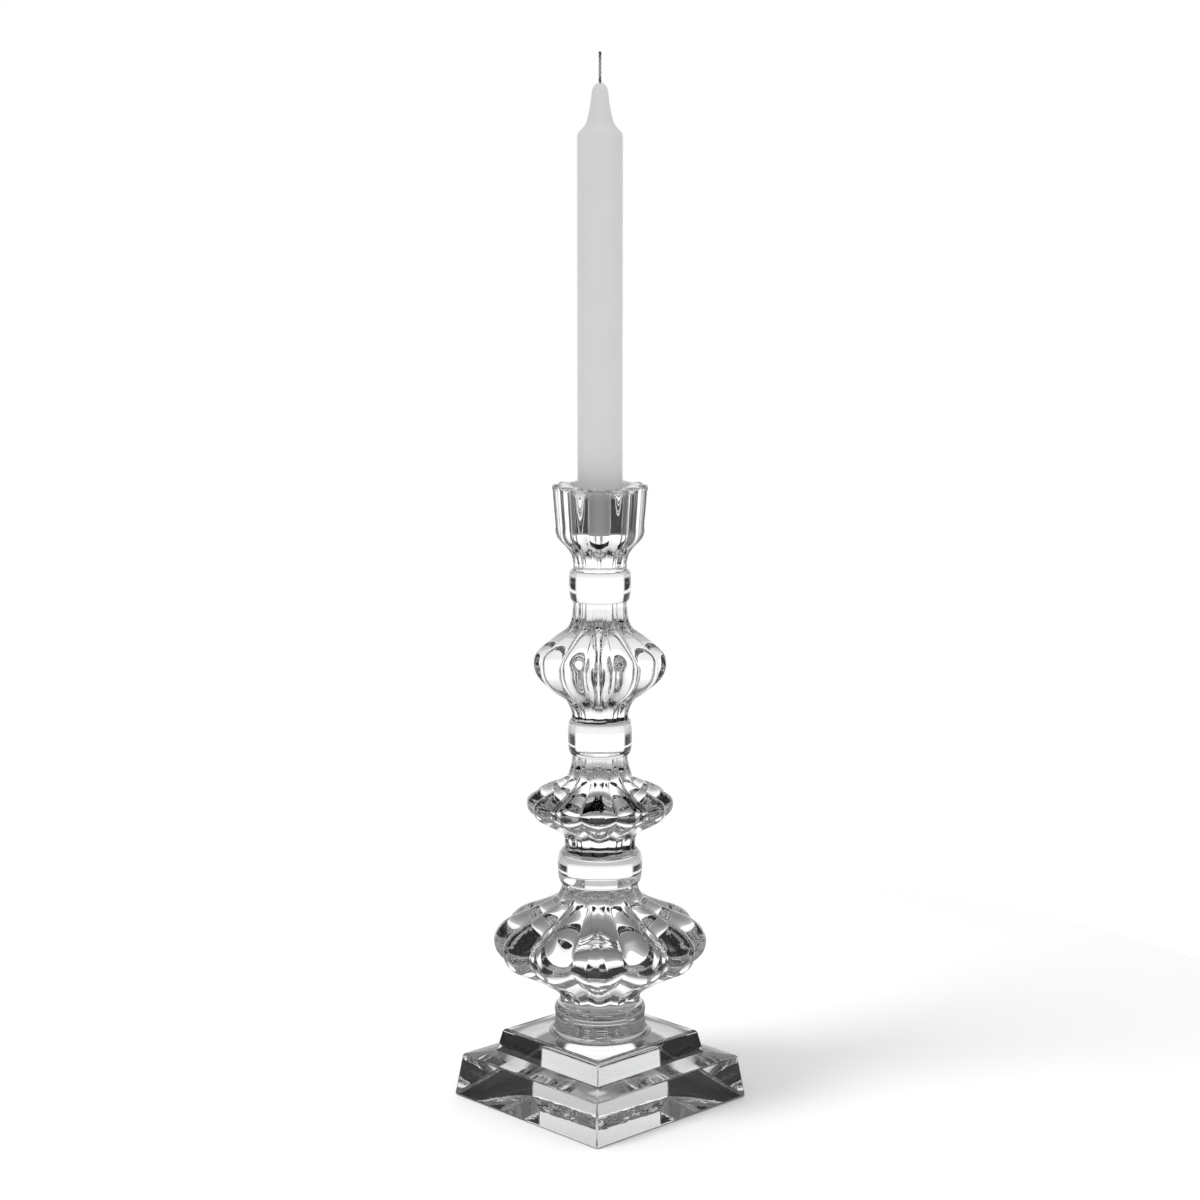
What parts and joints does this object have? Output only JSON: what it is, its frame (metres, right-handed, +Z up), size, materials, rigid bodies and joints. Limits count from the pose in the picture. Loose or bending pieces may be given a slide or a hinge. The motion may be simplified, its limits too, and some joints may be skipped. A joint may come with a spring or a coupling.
{
  "type": "glass candlestick",
  "caption": "Tall clear glass candlestick with fluted bulbs and plain rings on a stepped square base, holding one taper candle in a fluted cup.",
  "frame": {"origin": "centre of the square base's underside, on the surface that the candlestick stands on", "axes": "+Z up, along the stem and the candle; the base's sides lie along X and Y, and a gadroon's crest faces each corner of the base"},
  "size_m": [0.1046, 0.1046, 0.5188],
  "materials": {
    "clear_glass": "pressed clear crystal glass, fire polished",
    "candle_wax": "smooth white paraffin wax with a soft sheen",
    "cotton_wick": "braided cotton, waxed and charred at the tip"
  },
  "bodies": {
    "candlestick": {"lower_plinth": "clear_glass", "upper_plinth": "clear_glass", "foot_collar": "clear_glass", "lower_bulb": "clear_glass", "lower_ring": "clear_glass", "middle_disc": "clear_glass", "middle_ring": "clear_glass", "upper_bulb": "clear_glass", "upper_ring": "clear_glass", "candle_cup": "clear_glass"},
    "taper": {"candle": "candle_wax", "wick": "cotton_wick"}
  },
  "joints": [
    {"name": "candle_lift", "type": "slide", "parent": "candlestick", "child": "taper", "axis": [0, 0, 1], "range_m": [0, 0.03]}
  ]
}
